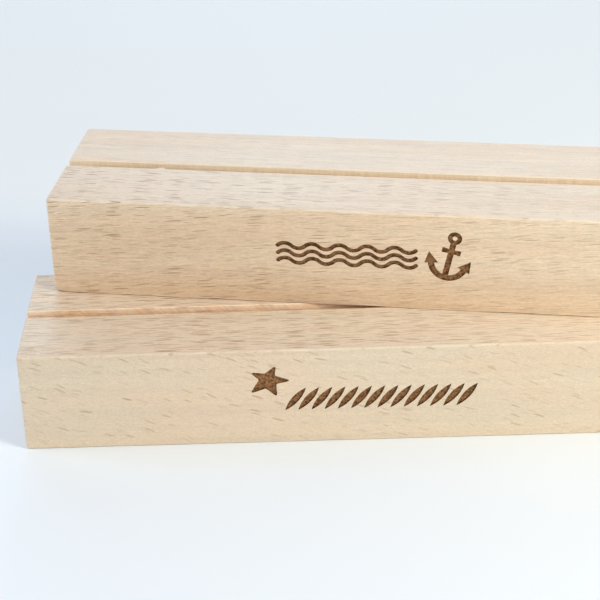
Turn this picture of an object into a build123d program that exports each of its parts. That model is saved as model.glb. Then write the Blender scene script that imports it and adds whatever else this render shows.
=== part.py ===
"""Two solid beech photo block holders, stacked.

Each holder is one length of beech bar with eased edges, a saw slot along its top in which
a photograph or card stands, and a shallow burnt engraving on its front face. The upper
holder lies loose on the lower one, turned a little, and lifts off.

Millimetres, +Z up, +X along the upper holder, -Y towards its engraved front. The origin
is the middle of the lower holder's underside.
"""

from build123d import *
from math import cos, radians, sin
import os

# The beech bar that both holders are cut from
BLOCK_LENGTH = 160.0
BLOCK_DEPTH = 40.0
BLOCK_HEIGHT = 25.0
EDGE_RADIUS = 0.45

# The slot for photographs: one saw cut wide, along the middle of the top and open at both ends
SLOT_WIDTH = 3.0
SLOT_DEPTH = 12.0
SLOT_LIP_RADIUS = 0.25

# How far the lower holder is turned against the upper one, and where the upper holder's
# front left corner lies, from the lower holder's left end and back face
LOWER_TURN = 9.0
UPPER_CORNER_INSET = 5.8
UPPER_CORNER_OVERLAP = 9.1

# Every motif is burnt to one depth, and is placed from the middle of the front face
ENGRAVING_DEPTH = 0.5

# An anchor, drawn about the middle of its ring and leaning to the right
ANCHOR_PLACE = (16.9, 6.6)
ANCHOR_LEAN = -14.0
RING_RADIUS = 1.65
RING_HOLE_RADIUS = 0.57
STOCK_DROP = 3.55
STOCK_LENGTH = 4.45
STOCK_WAIST_WIDTH = 1.0
STOCK_END_WIDTH = 1.35
STOCK_END_RADIUS = 0.25
SHANK_WIDTH = 1.4
ARM_CENTRE_DROP = 6.6
ARM_RADIUS = 4.0
ARM_WIDTH = 1.5
ARM_END_ANGLE = 12.5
FLUKE_LENGTH = 2.8
FLUKE_WIDTH = 3.2
FLUKE_BARB_DROP = 0.4
FLUKE_FLARE = 11.0

# Wavy lines of water, beside the anchor
WAVES_PLACE = (-8.5, 1.0)
WAVE_ROWS = 3
WAVE_ROW_PITCH = 1.95
WAVE_COUNT = 5
WAVE_LENGTH = 6.5
WAVE_RISE = 0.65
WAVE_LINE_WIDTH = 1.0

# A starfish, with the directions of its arms and of the waists after them, in degrees from
# the block's length, and each arm's reach
STARFISH_PLACE = (-22.5, 4.4)
STARFISH_ARM_ANGLES = (-1.0, 63.5, 149.5, 218.0, 294.0)
STARFISH_WAIST_ANGLES = (40.5, 109.5, 170.5, 254.5, 335.5)
STARFISH_ARM_REACHES = (5.6, 4.6, 4.8, 5.45, 4.85)
STARFISH_WAIST_RADIUS = 2.1
STARFISH_TIP_RADIUS = 0.38
STARFISH_WAIST_FILLET = 0.5

# A rope border beside the starfish: a row of slanted strands with pointed ends
ROPE_PLACE = (3.5, -0.7)
ROPE_STRANDS = 14
ROPE_PITCH = 3.05
STRAND_LENGTH = 7.8
STRAND_WIDTH = 1.7
STRAND_SLANT = 50.0


def upper_base_plane(lower_base):
    """The plane of the upper holder's underside, about its middle, on the lower holder's top."""
    corner_along = UPPER_CORNER_INSET - BLOCK_LENGTH / 2
    corner_back = BLOCK_DEPTH / 2 - UPPER_CORNER_OVERLAP
    corner = lower_base.from_local_coords(Vector(corner_along, corner_back, BLOCK_HEIGHT))
    return Plane(origin=corner + Vector(BLOCK_LENGTH / 2, BLOCK_DEPTH / 2))


def end_plane(base):
    """The plane of a holder's left end: x to its back, y up, z along its length."""
    left_end = base.from_local_coords(Vector(-BLOCK_LENGTH / 2, 0, 0))
    return Plane(origin=left_end, x_dir=base.y_dir, z_dir=base.x_dir)


def front_plane(base):
    """The plane of a holder's front face about the face's middle: x along it, y up, z outwards."""
    face_middle = base.from_local_coords(Vector(0, -BLOCK_DEPTH / 2, BLOCK_HEIGHT / 2))
    return Plane(origin=face_middle, x_dir=base.x_dir, z_dir=-base.y_dir)


def slotted_bar(base):
    """A holder before it is engraved: the bar with its edges eased, then sawn along its top.

    The saw cut widens above the bar, and the corners where it does so are rounded into the lips.
    """
    mouth_width = SLOT_WIDTH + 4 * SLOT_LIP_RADIUS
    with BuildPart() as bar:
        with BuildSketch(end_plane(base)):
            Rectangle(BLOCK_DEPTH, BLOCK_HEIGHT, align=(Align.CENTER, Align.MIN))
        extrude(amount=BLOCK_LENGTH)
        fillet(bar.edges(), EDGE_RADIUS)
        with BuildSketch(end_plane(base)) as saw_cut:
            with Locations((0, BLOCK_HEIGHT)):
                Rectangle(SLOT_WIDTH, SLOT_DEPTH, align=(Align.CENTER, Align.MAX))
                Rectangle(mouth_width, SLOT_WIDTH, align=(Align.CENTER, Align.MIN))
            lip_corners = saw_cut.vertices().group_by(Axis.Y)[1].sort_by(Axis.X)[1:3]
            fillet(lip_corners, SLOT_LIP_RADIUS)
        extrude(amount=BLOCK_LENGTH, mode=Mode.SUBTRACT)
    return bar.part


def anchor():
    """An upright anchor about the middle of its ring: stock, shank, arms, flukes and ring."""
    arm_end_x = ARM_RADIUS * cos(radians(ARM_END_ANGLE))
    arm_end_y = -ARM_CENTRE_DROP - ARM_RADIUS * sin(radians(ARM_END_ANGLE))
    stock_half = [
        (0, STOCK_WAIST_WIDTH / 2),
        (0, -STOCK_WAIST_WIDTH / 2),
        (STOCK_LENGTH / 2, -STOCK_END_WIDTH / 2),
        (STOCK_LENGTH / 2, STOCK_END_WIDTH / 2),
    ]
    with BuildSketch() as figure:
        with Locations((0, -STOCK_DROP)):
            Polygon(*stock_half, align=None)
            Polygon(*stock_half, rotation=180, align=None)
        stock_corners = figure.vertices().group_by(Axis.X)
        fillet(stock_corners[0] + stock_corners[-1], STOCK_END_RADIUS)
        Rectangle(SHANK_WIDTH, ARM_CENTRE_DROP + ARM_RADIUS, align=(Align.CENTER, Align.MAX))
        with BuildLine():
            CenterArc((0, -ARM_CENTRE_DROP), ARM_RADIUS, 180 + ARM_END_ANGLE, 180 - 2 * ARM_END_ANGLE)
        trace(line_width=ARM_WIDTH)
        for side in (-1, 1):
            outer_corner = (side * FLUKE_WIDTH / 2, 0)
            inner_corner = (-side * FLUKE_WIDTH / 2, -FLUKE_BARB_DROP)
            fluke_turn = -side * (ARM_END_ANGLE + FLUKE_FLARE)
            with Locations((side * arm_end_x, arm_end_y)):
                Polygon(outer_corner, inner_corner, (0, FLUKE_LENGTH), rotation=fluke_turn, align=None)
        Circle(RING_RADIUS)
        Circle(RING_HOLE_RADIUS, mode=Mode.SUBTRACT)
    return figure.sketch


def waves():
    """Rows of wavy lines about the middle of the band, each a chain of arcs bent up and down in turn."""
    bend_length = WAVE_LENGTH / 2
    band_end = WAVE_COUNT * WAVE_LENGTH / 2
    with BuildSketch() as band:
        for row in range(WAVE_ROWS):
            level = (row - (WAVE_ROWS - 1) / 2) * WAVE_ROW_PITCH
            with BuildLine():
                for bend in range(2 * WAVE_COUNT):
                    start = bend * bend_length - band_end
                    rise = -WAVE_RISE if bend % 2 else WAVE_RISE
                    SagittaArc((start, level), (start + bend_length, level), rise)
            trace(line_width=WAVE_LINE_WIDTH)
            with Locations((-band_end, level), (band_end, level)):
                Circle(WAVE_LINE_WIDTH / 2)
    return band.sketch


def starfish():
    """A starfish about its middle, with its tips and the waists between its arms rounded."""
    arm_count = len(STARFISH_ARM_ANGLES)
    arms = zip(STARFISH_ARM_ANGLES, STARFISH_ARM_REACHES, STARFISH_WAIST_ANGLES)
    outline = []
    for arm_angle, arm_reach, waist_angle in arms:
        outline.append(Vector(arm_reach, 0).rotate(Axis.Z, arm_angle))
        outline.append(Vector(STARFISH_WAIST_RADIUS, 0).rotate(Axis.Z, waist_angle))
    with BuildSketch() as figure:
        with BuildLine():
            Polyline(*outline, close=True)
        make_face()
        corners = figure.vertices().sort_by_distance((0, 0, 0))
        fillet(corners[arm_count:], STARFISH_TIP_RADIUS)
        waists = figure.vertices().sort_by_distance((0, 0, 0))[:arm_count]
        fillet(waists, STARFISH_WAIST_FILLET)
    return figure.sketch


def rope():
    """A row of slanted strands about the row's middle, each a lens between two arcs."""
    strand_end = STRAND_LENGTH / 2
    with BuildSketch() as strand:
        with BuildLine():
            SagittaArc((-strand_end, 0), (strand_end, 0), STRAND_WIDTH / 2)
            SagittaArc((strand_end, 0), (-strand_end, 0), STRAND_WIDTH / 2)
        make_face()
    with BuildSketch() as row:
        with GridLocations(ROPE_PITCH, 0, ROPE_STRANDS, 1):
            add(strand.sketch, rotation=STRAND_SLANT)
    return row.sketch


lower_base = Plane.XY.rotated((0, 0, LOWER_TURN))
lower_bar = slotted_bar(lower_base)
starfish_figure = starfish()
rope_border = rope()
with BuildPart() as lower_block:
    add(lower_bar)
    with BuildSketch(front_plane(lower_base)):
        with Locations(STARFISH_PLACE):
            add(starfish_figure)
        with Locations(ROPE_PLACE):
            add(rope_border)
    extrude(amount=-ENGRAVING_DEPTH, mode=Mode.SUBTRACT)

upper_base = upper_base_plane(lower_base)
upper_bar = slotted_bar(upper_base)
anchor_figure = anchor()
wave_band = waves()
with BuildPart() as upper_block:
    add(upper_bar)
    with BuildSketch(front_plane(upper_base)):
        with Locations(ANCHOR_PLACE):
            add(anchor_figure, rotation=ANCHOR_LEAN)
        with Locations(WAVES_PLACE):
            add(wave_band)
    extrude(amount=-ENGRAVING_DEPTH, mode=Mode.SUBTRACT)

os.makedirs("parts", exist_ok=True)
lower_block.part.label = "lower_block"
export_step(lower_block.part, "parts/lower_block.step")
upper_block.part.label = "upper_block"
export_step(upper_block.part, "parts/upper_block.step")
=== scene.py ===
"""Looks for two solid beech photo block holders, stacked.

Each holder is one sanded length of beech with eased edges, a saw slot along its top and a
shallow burnt engraving on its front. Metres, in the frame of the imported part: +Z up, +X along
the upper holder, -Y towards its engraved front.
"""

from collections import namedtuple
from math import atan, cos, pi, radians, sin, tan

import bmesh
import bpy
from bpy.props import FloatProperty, FloatVectorProperty, PointerProperty
from mathutils import Matrix, Vector, noise


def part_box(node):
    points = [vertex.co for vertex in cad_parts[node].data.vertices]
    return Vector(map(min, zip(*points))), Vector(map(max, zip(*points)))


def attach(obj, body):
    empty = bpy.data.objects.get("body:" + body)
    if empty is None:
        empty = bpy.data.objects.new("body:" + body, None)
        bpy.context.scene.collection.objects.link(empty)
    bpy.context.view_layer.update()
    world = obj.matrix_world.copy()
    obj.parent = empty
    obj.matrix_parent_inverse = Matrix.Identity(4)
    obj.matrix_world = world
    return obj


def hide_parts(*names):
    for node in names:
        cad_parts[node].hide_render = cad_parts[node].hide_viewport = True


bl_info = {
    "name": "Photo block holders",
    "version": (1, 0, 0),
    "blender": (4, 5, 0),
    "location": "3D View > Sidebar > Photo blocks",
    "description": "Two stacked beech photo block holders with saw slots and burnt engravings",
    "category": "Object",
}

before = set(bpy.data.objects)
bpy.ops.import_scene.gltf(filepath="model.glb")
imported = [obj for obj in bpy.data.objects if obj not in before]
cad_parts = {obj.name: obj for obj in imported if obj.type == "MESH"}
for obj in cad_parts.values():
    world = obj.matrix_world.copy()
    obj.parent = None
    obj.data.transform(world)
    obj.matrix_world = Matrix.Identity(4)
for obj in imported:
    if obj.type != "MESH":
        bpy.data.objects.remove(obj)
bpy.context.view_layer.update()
upper_low, upper_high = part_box("upper_block")
lower_low, lower_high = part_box("lower_block")

MM = 0.001


def mm(*lengths):
    """Lengths given in millimetres."""
    return tuple(length * MM for length in lengths)


# The order of the materials on each block
FACE_WOOD = 0
SLOT_WOOD = 1
BURNT_WOOD = 2

# Steps of the modelled edges, slot and figures
EDGE_SEGMENTS = 6
BAR_STEP = 1.0 * MM
SLOT_STEP = 0.5 * MM
SLOT_WALL_CUTS = 7
CUTTER_REACH = 2.13 * MM
LIP_CLEARANCE = 0.03 * MM
ARC_STEPS = 10
RING_STEPS = 40
CORNER_STEPS = 6
SHARP_ANGLE = radians(32)

# How near points are merged, the least share of a length that an edge along it has, and the slack
# in telling which points lie on a rounding
STRAND_MERGE = 0.001 * MM
CUT_MERGE = 0.0005 * MM
LONG_EDGE = 0.9
ROUNDING_SLACK = 0.01

# The waves beside the anchor, the starfish's arms, and the rope beside the starfish
WAVE_ROWS = 3
WAVE_COUNT = 5
STARFISH_ARM_ANGLES = (-1.0, 63.5, 149.5, 218.0, 294.0)
STARFISH_WAIST_ANGLES = (40.5, 109.5, 170.5, 254.5, 335.5)
STARFISH_ARM_REACHES = (5.6, 4.6, 4.8, 5.45, 4.85)
ROPE_STRANDS = 14

# Uneven sanding of the edges: the length of its noise, and how far that is raised
EDGE_WEAR_LENGTH = 9.0 * MM
EDGE_WEAR_LEVEL = 0.15

# The gap below the upper block: the length of its noise, its least and its mean share, and how far
# the share swings; and the share of the lift at the ends that the whole rounding has
GAP_LENGTH = 11.0 * MM
GAP_LEAST = 0.1
GAP_MEAN = 0.75
GAP_SWING = 1.5
END_LIFT_SHARE = 0.8

# The saw's fine and slow wander: lengths along and up a wall, how far apart the noises of the two
# walls are, the slow wander's share, and how far above the lips the path is straight again
SAW_FINE_LENGTHS = mm(1.1, 2.5)
SAW_SLOW_LENGTHS = mm(14.0, 9.0)
SAW_FINE_APART = 7
SAW_SLOW_APART = 31
SAW_SLOW_SHARE = 0.8
STRAIGHT_ABOVE = 0.1 * MM

# A splinter that stands into the upper slot from its front lip, placed from the block's middle:
# where its crest is, how far it reaches in and down, and how ragged it is
SPLINTER_START = -57.5 * MM
SPLINTER_LENGTH = 2.4 * MM
SPLINTER_CREST = 0.7
SPLINTER_REACH = 1.5 * MM
SPLINTER_DROP = 1.2 * MM
SPLINTER_MEAN = 0.85
SPLINTER_SWING = 0.5
SPLINTER_RAGGEDNESS = 0.7 * MM

# Patterns of the wood: lengths along three axes, detail, roughness and shift. For the first six
# the axes are along the fibres, out from the heart and along the growth rings, and the fibres wobble
Pattern = namedtuple("Pattern", ["lengths", "detail", "roughness", "shift"])
FIBRES = Pattern(mm(9.0, 0.2, 0.2), 2.0, 0.6, 0.0)
PORES = Pattern(mm(0.9, 0.35, 0.35), 1.0, 0.5, 3.0)
STREAKS = Pattern(mm(16.0, 0.5, 0.5), 2.0, 0.5, 2.0)
RINGS = Pattern(mm(140.0, 1.7, 40.0), 1.0, 0.5, 0.0)
CLOUDS = Pattern(mm(80.0, 9.0, 9.0), 1.0, 0.5, 0.0)
CROWDS = Pattern(mm(80.0, 9.0, 9.0), 1.0, 0.5, 9.0)
SAW_MARKS = Pattern(mm(0.7, 4.0, 5.0), 2.0, 0.6, 3.0)
SAWN_PATCHES = Pattern(mm(9.0, 6.0, 6.0), 2.0, 0.6, 23.0)
MOTTLE = Pattern(mm(1.0, 0.8, 0.8), 2.0, 0.6, 13.0)
SPECKLE = Pattern(mm(0.3, 0.3, 0.3), 1.0, 0.5, 17.0)
WOBBLE_LENGTH = 5.0 * MM
WOBBLE_MIDDLE = (0.5, 0.5, 0.5)

# The rays: the lengths of the cell that each one lies in, how much of the cell it fills, its
# solid core, the fine rays' shift, and their strength where they crowd and on the block's ends
UPPER_RAY_CELL = mm(7.0, 8.0, 0.29)
LOWER_RAY_CELL = mm(7.5, 7.0, 0.41)
UPPER_FINE_RAY_CELL = mm(4.5, 6.0, 0.24)
LOWER_FINE_RAY_CELL = mm(7.0, 6.0, 0.32)
RAY_REACH = 0.33
RAY_CORE = 0.75
FINE_RAY_SHIFT = 5.0
CROWDED_RAYS = 1.1
END_RAYS = 0.45

# Where one kind of surface passes into the next: lengths, a share of the half length, places
# across the top, drops below a level, and distances past the start of a rounding
SIDE_BLEND = 0.5 * MM
HEART_BLEND = 5.0 * MM
# Over this share of the half length the painted light grows and the rays fade, towards the right
LIGHT_AND_RAY_GRADIENT_REACH = 0.8
TOP_HALVES = mm(-6.0, 4.0)
CUT_WALL_DROPS = mm(0.03, 0.15)
RIM_DROPS = mm(-1.2, -0.4)
# Painted shade in the slot: it starts at the first drop below the top and is full at the second
PAINTED_SHADE_DROPS = mm(0.4, 2.2)
LIP_DROPS = mm(0.5, 0.2)
EASED_EDGE = mm(-0.05, 0.15)

# How much darker and lighter a pattern makes the wood, over the middle of its range
MIDDLE_RANGE = (0.3, 0.7)
RING_SHADES = (0.03, 0.025)
FIBRE_SHADES = (0.08, 0.065)
STREAK_SHADES = (0.05, 0.04)
PORE_SHADES = (0.05, 0.045)
SAW_MARK_SHADES = (0.06, 0.05)

# What becomes of a pattern: a range of it, and for most the values at the two ends
ROSY_CLOUDS = (0.35, 0.65, 0.0, 0.6)
ROSY_HEART = (0.35, 0.6, 0.4, 1.0)
WORN_AND_HIGHLIT_EDGES = (0.35, 0.6)
SAWN_FIBRES = (0.25, 0.75, 0.92, 1.06)
REDDER_SAWN = (0.44, 0.6)
CHARRED_MOTTLE = (0.36, 0.64, 0.0, 0.7)
CHARRED_SPECKLE = (0.35, 0.7, 0.0, 0.4)
PALER_FIBRES = (0.3, 0.7, 0.0, 0.15)

# Shares: the least pale wear and painted highlight of an edge, the sawn colour on the block's
# ends, how far rays sink below the fibres, a slot's redder patches, its redder painted shade deep
# down and its rays, and the char on cut walls; and how strongly the faces' painted light shows in the slot
LEAST_EDGE_WEAR_AND_HIGHLIGHT = 0.15
END_TINT = 0.35
RAY_SINKING = 0.5
REDDER_SHARE = 0.6
REDDER_PAINTED_SHADE = 0.45
SAWN_RAYS = 0.4
CHARRED_WALLS = 0.2
SAWN_PAINTED_LIGHT_POWER = 2.0

# Tints of the redder patches on the sawn walls of a slot, also of the painted shade deep in it,
# and of the lighter, warmer band along its rims
SAWN_PATCH = (1.0, 0.86, 0.70, 1)
RIM_TINT = (1.05, 0.995, 0.93, 1)

# Roughness, sheen, and the strength and height of the bump
SANDED_ROUGHNESS = (0.25, 0.75, 0.44, 0.54)
SANDED_SHEEN = 0.5
SANDED_BUMP = (0.2, 0.04 * MM)
SAWN_ROUGHNESS = 0.7
SAWN_SHEEN = 0.25
SAWN_BUMP = (0.4, 0.08 * MM)
BURNT_ROUGHNESS = 0.8
BURNT_SHEEN = 0.1
BURNT_BUMP = (0.5, 0.08 * MM)
FLOOR_ROUGHNESS = 0.6
FLOOR_SHEEN = 0.2

# The floor, how far back it takes to reach the colour of the distance, and the light all round
FLOOR_SIZE = 6.0
FLOOR_BLEND = 0.16
AMBIENT_COLOUR = (0.986, 0.914, 0.986, 1)

# The square lamps: place, size, colour, and whether the wood's sheen mirrors them
Lamp = namedtuple("Lamp", ["place", "size", "colour", "mirrored"])
LAMPS = {
    "key": Lamp((0.46, -0.20, 0.33), 0.2, (1.026, 0.987, 0.864), False),
    "fill": Lamp((0.35, -1.1, 0.16), 0.8, (1.071, 1.013, 0.781), True),
    "back": Lamp((-0.5, 1.0, 0.6), 0.9, (0.741, 0.954, 1.221), True),
    "low_back": Lamp((0.0, 1.2, 0.3), 0.8, (0.675, 0.993, 1.268), True),
    "left": Lamp((-0.9, -0.2, 0.5), 0.8, (0.817, 0.938, 1.154), False),
}
LAMP_AIM = (0.0, 0.0, 0.03)

# The camera, in the frame of the part
CAMERA_PLACE = (0.066800, -0.431447, 0.272006)
CAMERA_HEADING = radians(10.754)
CAMERA_PITCH = radians(29.312)
CAMERA_ROLL = radians(-2.579)
CAMERA_FOCAL_LENGTH = 127.287
CAMERA_SENSOR = 36.0
CAMERA_CLIP_START = 0.01


def length_setting(name, description, default):
    """A length that a user can change."""
    return FloatProperty(name=name, description=description, default=default, unit="LENGTH")


def angle_setting(name, description, default):
    """An angle that a user can change."""
    return FloatProperty(name=name, description=description, default=default, subtype="ANGLE")


def place_setting(name, description, default):
    """A place on a front face, along and up, that a user can change."""
    return FloatVectorProperty(name=name, description=description, default=default, size=2, unit="LENGTH")


def colour_setting(name, description, default):
    """A colour that a user can change."""
    return FloatVectorProperty(
        name=name, description=description, default=default, size=3, subtype="COLOR", min=0, max=1)


def power_setting(name, description, default):
    """The power of a lamp, which a user can change."""
    return FloatProperty(name=name, description=description, default=default, min=0, unit="POWER")


class BlockSizes(bpy.types.PropertyGroup):
    """Sizes of the beech bar that both holders are cut from."""

    length: length_setting("Length", "Length of each block", upper_high.x - upper_low.x)
    depth: length_setting("Depth", "Depth of each block from front to back", upper_high.y - upper_low.y)
    height: length_setting("Height", "Height of each block", upper_high.z - upper_low.z)
    edge_radius: length_setting("Edge radius", "Radius of the sanded edges", 0.45 * MM)
    edge_wear: length_setting("Edge wear", "How unevenly the edges are sanded", 0.08 * MM)
    underside_roll: length_setting(
        "Underside roll", "How far in from its edges the underside curves up", 2.5 * MM)
    upper_gap: length_setting(
        "Upper gap", "Gap that the curved underside leaves below the upper block's edges", 0.12 * MM)
    upper_low_edge: length_setting(
        "Upper low edge", "Radius of the upper block's long lower edges, which are crisper", 0.25 * MM)
    upper_end_lift: length_setting(
        "Upper end lift", "How far the upper block's underside curves up at its two ends", 0.6 * MM)
    slot_width: length_setting("Slot width", "Width of the saw slot", 3.0 * MM)
    slot_depth: length_setting("Slot depth", "Depth of the saw slot", 12.0 * MM)
    lip_radius: length_setting("Lip radius", "Radius of the slot's upper edges", 0.25 * MM)
    saw_ripple: length_setting(
        "Saw ripple", "How rough the saw left the slot's walls and lips", 0.07 * MM)
    lower_turn: angle_setting(
        "Lower block's turn", "Turn of the lower block against the upper one", radians(9.0))


class EngravingSizes(bpy.types.PropertyGroup):
    """Sizes of the burnt figures on the front faces, placed from the middle of each face."""

    depth: length_setting("Depth", "Depth of every figure", 0.5 * MM)
    anchor_place: place_setting(
        "Anchor place", "Middle of the anchor's ring, along and up", mm(16.9, 6.6))
    anchor_lean: angle_setting("Anchor lean", "Turn of the anchor", radians(-14.0))
    ring_radius: length_setting("Ring radius", "Outer radius of the anchor's ring", 1.65 * MM)
    ring_hole_radius: length_setting(
        "Ring hole radius", "Radius of the bare wood inside the ring", 0.57 * MM)
    stock_drop: length_setting("Stock drop", "From the ring's middle down to the stock", 3.55 * MM)
    stock_length: length_setting("Stock length", "Length of the anchor's cross bar", 4.45 * MM)
    stock_waist_width: length_setting(
        "Stock waist width", "Width of the cross bar at its middle", 1.0 * MM)
    stock_end_width: length_setting("Stock end width", "Width of the cross bar at its ends", 1.35 * MM)
    stock_end_radius: length_setting("Stock end radius", "Rounding of the cross bar's ends", 0.25 * MM)
    shank_width: length_setting("Shank width", "Width of the anchor's upright", 1.4 * MM)
    arm_centre_drop: length_setting(
        "Arm centre drop", "From the ring's middle down to the arms' centre", 6.6 * MM)
    arm_radius: length_setting("Arm radius", "Radius of the arms' middle line", 4.0 * MM)
    arm_width: length_setting("Arm width", "Width of the arms", 1.5 * MM)
    arm_end_angle: angle_setting("Arm end angle", "How far below level the arms end", radians(12.5))
    fluke_length: length_setting("Fluke length", "Length of each fluke", 2.8 * MM)
    fluke_width: length_setting("Fluke width", "Width of each fluke", 3.2 * MM)
    fluke_barb_drop: length_setting(
        "Fluke barb drop", "How far each fluke's inner barb hangs below its outer one", 0.4 * MM)
    fluke_flare: angle_setting("Fluke flare", "Turn of each fluke towards the shank", radians(11.0))
    waves_place: place_setting("Waves place", "Middle of the waves, along and up", mm(-8.5, 1.0))
    wave_row_pitch: length_setting("Wave row pitch", "From one wavy line to the next", 1.95 * MM)
    wave_length: length_setting("Wave length", "From one crest to the next", 6.5 * MM)
    wave_rise: length_setting("Wave rise", "Rise of a crest above the line's middle", 0.65 * MM)
    wave_width: length_setting("Wave width", "Width of a wavy line", 1.0 * MM)
    starfish_place: place_setting(
        "Starfish place", "Middle of the starfish, along and up", mm(-22.5, 4.4))
    starfish_waist: length_setting("Starfish waist", "Radius between the starfish's arms", 2.1 * MM)
    starfish_tip_radius: length_setting("Starfish tip radius", "Rounding of the arms' tips", 0.38 * MM)
    starfish_waist_fillet: length_setting("Starfish waist fillet", "Rounding between the arms", 0.5 * MM)
    rope_place: place_setting("Rope place", "Middle of the rope, along and up", mm(3.5, -0.7))
    rope_pitch: length_setting("Rope pitch", "From one strand to the next", 3.05 * MM)
    strand_length: length_setting("Strand length", "Length of one strand", 7.8 * MM)
    strand_width: length_setting("Strand width", "Width of one strand", 1.7 * MM)
    strand_slant: angle_setting("Strand slant", "Slant of the strands", radians(50.0))


class WoodFinish(bpy.types.PropertyGroup):
    """Colours of the beech, its saw slot and its burnt figures."""

    lower_pale: colour_setting(
        "Lower pale", "Colour of the palest wood of the lower block", (0.686, 0.579, 0.431))
    lower_rosy: colour_setting(
        "Lower rosy", "Colour of the pinker wood of the lower block", (0.715, 0.556, 0.401))
    upper_pale: colour_setting(
        "Upper pale", "Colour of the palest wood of the upper block", (0.708, 0.571, 0.409))
    upper_rosy: colour_setting(
        "Upper rosy", "Colour of the pinker wood of the upper block", (0.684, 0.510, 0.339))
    fleck: colour_setting("Ray fleck", "Colour of the short dark flecks", (0.33, 0.185, 0.085))
    # Pale edges and lips: partly sanding wear, partly a painted highlight where they catch the light
    worn_and_highlit: colour_setting("Worn and highlit edge", "Colour of the sanded edges", (0.84, 0.735, 0.59))
    lower_sawn: colour_setting(
        "Lower sawn", "Colour of the sawn walls of the lower block's slot", (0.87, 0.695, 0.51))
    upper_sawn: colour_setting(
        "Upper sawn", "Colour of the sawn walls of the upper block's slot", (0.885, 0.745, 0.54))
    scorched: colour_setting("Scorched", "Colour of the lightest burnt wood", (0.35, 0.183, 0.085))
    charred: colour_setting("Charred", "Colour of the darkest burnt wood", (0.078, 0.031, 0.008))


class StageLook(bpy.types.PropertyGroup):
    """The floor that the blocks stand on and the light around them."""

    floor: colour_setting("Floor", "Colour of the floor near the blocks", (0.84, 0.90, 0.92))
    distance: colour_setting(
        "Distance", "Colour of the floor and the air behind the blocks", (0.794, 0.797, 0.747))
    ambient: FloatProperty(
        name="Ambient", description="Strength of the light from all round",
        default=0.389, min=0)
    key_power: power_setting("Key power", "Power of the soft lamp on the right", 2.42)
    fill_power: power_setting("Fill power", "Power of the low warm lamp in front", 2.55)
    back_power: power_setting("Back power", "Power of the wide cool lamp behind", 2.51)
    low_back_power: power_setting("Low back power", "Power of the low cool lamp behind", 5.83)
    left_power: power_setting("Left power", "Power of the wide lamp on the left", 6.2)


def new_object(name, content):
    """Links a new object with the given mesh, lamp or camera into the scene."""
    made = bpy.data.objects.new(name, content)
    bpy.context.scene.collection.objects.link(made)
    return made


def object_from(name, shape, material=FACE_WOOD):
    """Turns a finished bmesh into an object with one of its materials, and lets the bmesh go."""
    for face in shape.faces:
        face.material_index = material
    mesh_data = bpy.data.meshes.new(name)
    shape.to_mesh(mesh_data)
    shape.free()
    return new_object(name, mesh_data)


def add_shape(figure, shape, place):
    """Adds a flat shape to a figure in its place, and lets the shape go."""
    bmesh.ops.transform(shape, matrix=place, verts=shape.verts)
    carrier = bpy.data.meshes.new("carrier")
    shape.to_mesh(carrier)
    shape.free()
    figure.from_mesh(carrier)
    bpy.data.meshes.remove(carrier)


def at(along, up, turn=0.0):
    """Place of a flat shape on a figure's sheet."""
    return Matrix.Translation((along, up, 0)) @ Matrix.Rotation(turn, 4, "Z")


def polygon(corners):
    """A flat face between the given corners."""
    shape = bmesh.new()
    shape.faces.new([shape.verts.new((along, up, 0)) for along, up in corners])
    return shape


def round_corners(shape, corners, radius):
    """Rounds corners of a flat face with arcs of one radius."""
    for corner in corners:
        first, second = [edge.other_vert(corner).co - corner.co for edge in corner.link_edges]
        setback = radius / tan(first.angle(second) / 2)
        bmesh.ops.bevel(
            shape, geom=[corner], offset=setback, offset_type="OFFSET", affect="VERTICES",
            segments=CORNER_STEPS, profile=0.5, material=-1, clamp_overlap=False)


def disc(radius):
    """A flat disc."""
    shape = bmesh.new()
    bmesh.ops.create_circle(shape, cap_ends=True, segments=RING_STEPS, radius=radius)
    return shape


def ring(radius, hole_radius):
    """A flat ring."""
    shape = bmesh.new()
    bmesh.ops.create_circle(shape, segments=RING_STEPS, radius=radius)
    bmesh.ops.create_circle(shape, segments=RING_STEPS, radius=hole_radius)
    bmesh.ops.bridge_loops(shape, edges=shape.edges)
    return shape


def arc_band(radius, width, start, sweep):
    """A flat band bent round the origin."""
    shape = bmesh.new()
    direction = Vector((cos(start), sin(start), 0))
    ends = [shape.verts.new(direction * (radius + side * width / 2)) for side in (-1, 1)]
    rung = shape.edges.new(ends)
    bmesh.ops.spin(
        shape, geom=ends + [rung], cent=(0, 0, 0), axis=(0, 0, 1), angle=sweep, steps=3 * ARC_STEPS)
    return shape


def wavy_line(bends, bend_length, rise, width):
    """A flat wavy line about its middle, a chain of arcs bent up and down in turn."""
    radius = (bend_length ** 2 / 4 + rise ** 2) / (2 * rise)
    sweep = 4 * atan(2 * rise / bend_length)
    line_start = -bends * bend_length / 2
    shape = bmesh.new()
    centre = Vector((line_start + bend_length / 2, rise - radius, 0))
    start = Vector((line_start, 0, 0))
    across = (start - centre).normalized()
    ends = [shape.verts.new(start + across * side * width / 2) for side in (-1, 1)]
    rung = ends + [shape.edges.new(ends)]
    for bend in range(bends):
        side = -1 if bend % 2 else 1
        centre = Vector((line_start + (bend + 0.5) * bend_length, side * (rise - radius), 0))
        spun = bmesh.ops.spin(
            shape, geom=rung, cent=centre, axis=(0, 0, 1), angle=-side * sweep, steps=ARC_STEPS)
        rung = spun["geom_last"]
    return shape


def strand(length, width):
    """A flat lens between two arcs."""
    sagitta = width / 2
    radius = (length ** 2 / 4 + sagitta ** 2) / (2 * sagitta)
    sweep = 4 * atan(2 * sagitta / length)
    shape = bmesh.new()
    for side in (-1, 1):
        tip = shape.verts.new((-length / 2, 0, 0))
        bmesh.ops.spin(
            shape, geom=[tip], cent=(0, side * (sagitta - radius), 0), axis=(0, 0, 1),
            angle=-side * sweep, steps=ARC_STEPS)
    bmesh.ops.remove_doubles(shape, verts=shape.verts, dist=STRAND_MERGE)
    bmesh.ops.contextual_create(shape, geom=shape.edges)
    return shape


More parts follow.
